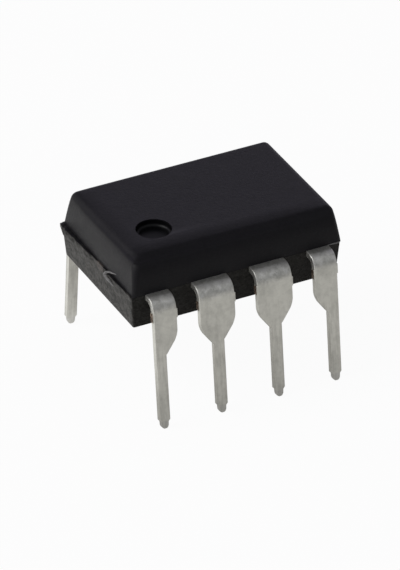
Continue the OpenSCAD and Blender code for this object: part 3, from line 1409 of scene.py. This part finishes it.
    def dam_stubs(self, bm: bmesh.types.BMesh) -> None:
        """Leaves the stubs of the cut dam bar at both sides of the blank.

        Args:
            bm: The blank.
        """
        low, high = (self.along(z) for z in reversed(self.dam))
        self.cut_across(bm, low)
        self.cut_across(bm, high)
        for sign in (-1, 1):
            faces = [
                f
                for f in bm.faces
                if f.normal.x * sign > 0.9 and low < f.calc_center_median().y < high
            ]
            made = bmesh.ops.extrude_face_region(bm, geom=faces)["geom"]
            bmesh.ops.delete(bm, geom=faces, context="FACES_ONLY")
            verts = [v for v in made if isinstance(v, bmesh.types.BMVert)]
            bmesh.ops.translate(
                bm, verts=verts, vec=Vector((sign * self.dam_reach, 0, 0))
            )
            for vert in verts:
                vert.co.y += self.dam_rag * noise.noise(vert.co * self.dam_rag_rate)
            for face in (f for f in made if isinstance(f, bmesh.types.BMFace)):
                face.material_index = 1

    def build(self, place: LeadPlace, lift: float) -> bmesh.types.BMesh:
        """Makes one lead at the middle of the far row.

        Args:
            place: Where the lead stands in its row.
            lift: How far the slope at +x stands above the middle one.

        Returns:
            Its mesh.
        """
        bm = self.blank(place, lift)
        round_edges(bm, self.outline_edges(bm, self.top), self.rolled_edge, 3)
        under = self.outline_edges(bm, self.top - self.sheet)
        round_edges(bm, under, self.cut_edge, 1)
        self.dam_stubs(bm)
        self.bend(bm)
        bmesh.ops.recalc_face_normals(bm, faces=bm.faces)
        return bm


@dataclass
class LeadSet:
    """The eight leads, numbered from the marked corner along the near row and back."""

    form: FormedLead = field(default_factory=FormedLead)
    plate: TinPlate = field(default_factory=TinPlate)
    cut: ShearedMetal = field(default_factory=ShearedMetal)
    pitch: float = 2.54
    per_row: int = 4

    def build(self) -> None:
        """Makes the leads, each in its own place."""
        finishes = [self.plate.material(), self.cut.material()]
        for number in range(1, 2 * self.per_row + 1):
            near = number <= self.per_row
            column = number - 1 if near else 2 * self.per_row - number
            x = (column - (self.per_row - 1) / 2) * self.pitch
            last = column in (0, self.per_row - 1)
            sign = 1 if x > 0 else -1
            place = LeadPlace.CORNER if last else LeadPlace.INNER
            bm = self.form.build(place, sign * self.form.skew)
            turn = Vector((sign, -1 if near else 1, 1))
            bmesh.ops.scale(bm, vec=turn, verts=bm.verts)
            bmesh.ops.translate(bm, vec=Vector((x, 0, 0)), verts=bm.verts)
            bmesh.ops.recalc_face_normals(bm, faces=bm.faces)
            piece = make_piece(bm, f"formed_lead_{number}", finishes)
            dress(piece, [f"lead_{number}"])


@dataclass
class SealedParts:
    """What the moulding seals in. The CAD nodes stay and take a real finish."""

    paddle: FrameCopper = field(default_factory=FrameCopper)
    bond: SilverPaste = field(default_factory=SilverPaste)
    die: PatternedSilicon = field(default_factory=PatternedSilicon)
    wire: DrawnGold = field(default_factory=DrawnGold)
    wires: int = 8

    def dress_nodes(self) -> None:
        """Gives each sealed node its material."""
        finishes = {
            "die_paddle": self.paddle.material(),
            "die_attach": self.bond.material(),
            "die": self.die.material(),
        }
        gold = self.wire.material()
        finishes.update({f"bond_wire_{n}": gold for n in range(1, self.wires + 1)})
        for name, material in finishes.items():
            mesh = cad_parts[name].data
            mesh.materials.clear()
            mesh.materials.append(material)
            LOG.info("%s: finished in %s", name, material.name)


@dataclass
class Studio:
    """A white table, soft light and the photograph's camera, with sizes in metres."""

    paper: StudioPaper = field(default_factory=StudioPaper)
    room: StudioRoom = field(default_factory=StudioRoom)
    table_r: float = 0.6
    camera_place: Sequence[float] = (-0.090023, -0.181061, 0.131732)
    camera_turn: Sequence[float] = (57.5377, 0.2863, -26.6004)
    lens: float = 378.947
    key_place: Sequence[float] = (-0.31, 0.06, 0.31)
    key_size: float = 0.26
    key_power: float = 0.8

    def floor(self) -> None:
        """Lays the table's paper."""
        bm = bmesh.new()
        bmesh.ops.create_circle(bm, cap_ends=True, segments=96, radius=self.table_r)
        mesh = bpy.data.meshes.new("table_paper")
        bm.to_mesh(mesh)
        bm.free()
        mesh.materials.append(self.paper.material())
        floor = bpy.data.objects.new("table_paper", mesh)
        bpy.context.scene.collection.objects.link(floor)

    def lamp(self) -> None:
        """Hangs a square soft lamp that faces the object."""
        data = bpy.data.lights.new("key_softbox", "AREA")
        data.shape = "SQUARE"
        data.size = self.key_size
        data.energy = self.key_power
        lamp = bpy.data.objects.new("key_softbox", data)
        lamp.location = self.key_place
        lamp.rotation_mode = "QUATERNION"
        lamp.rotation_quaternion = (-Vector(self.key_place)).to_track_quat("-Z", "Y")
        lamp.visible_camera = False
        bpy.context.scene.collection.objects.link(lamp)

    def camera(self) -> None:
        """Sets up the photograph's camera."""
        data = bpy.data.cameras.new("photo_camera")
        data.lens = self.lens
        data.clip_start = 0.01
        camera = bpy.data.objects.new("photo_camera", data)
        camera.location = self.camera_place
        camera.rotation_euler = [math.radians(a) for a in self.camera_turn]
        bpy.context.scene.collection.objects.link(camera)
        bpy.context.scene.camera = camera

    def build(self) -> None:
        """Sets up the floor, the light and the camera."""
        self.floor()
        self.lamp()
        bpy.context.scene.world = self.room.world()
        self.camera()
        bpy.context.scene.view_settings.view_transform = "Standard"


def main() -> None:
    """Builds and dresses the package, and sets it in the studio."""
    logging.basicConfig(level=logging.INFO, format="%(name)s: %(message)s")
    Studio().build()
    Moulding().build()
    TornRims().build()
    LeadSet().build()
    SealedParts().dress_nodes()


if __name__ == "__main__":
    main()
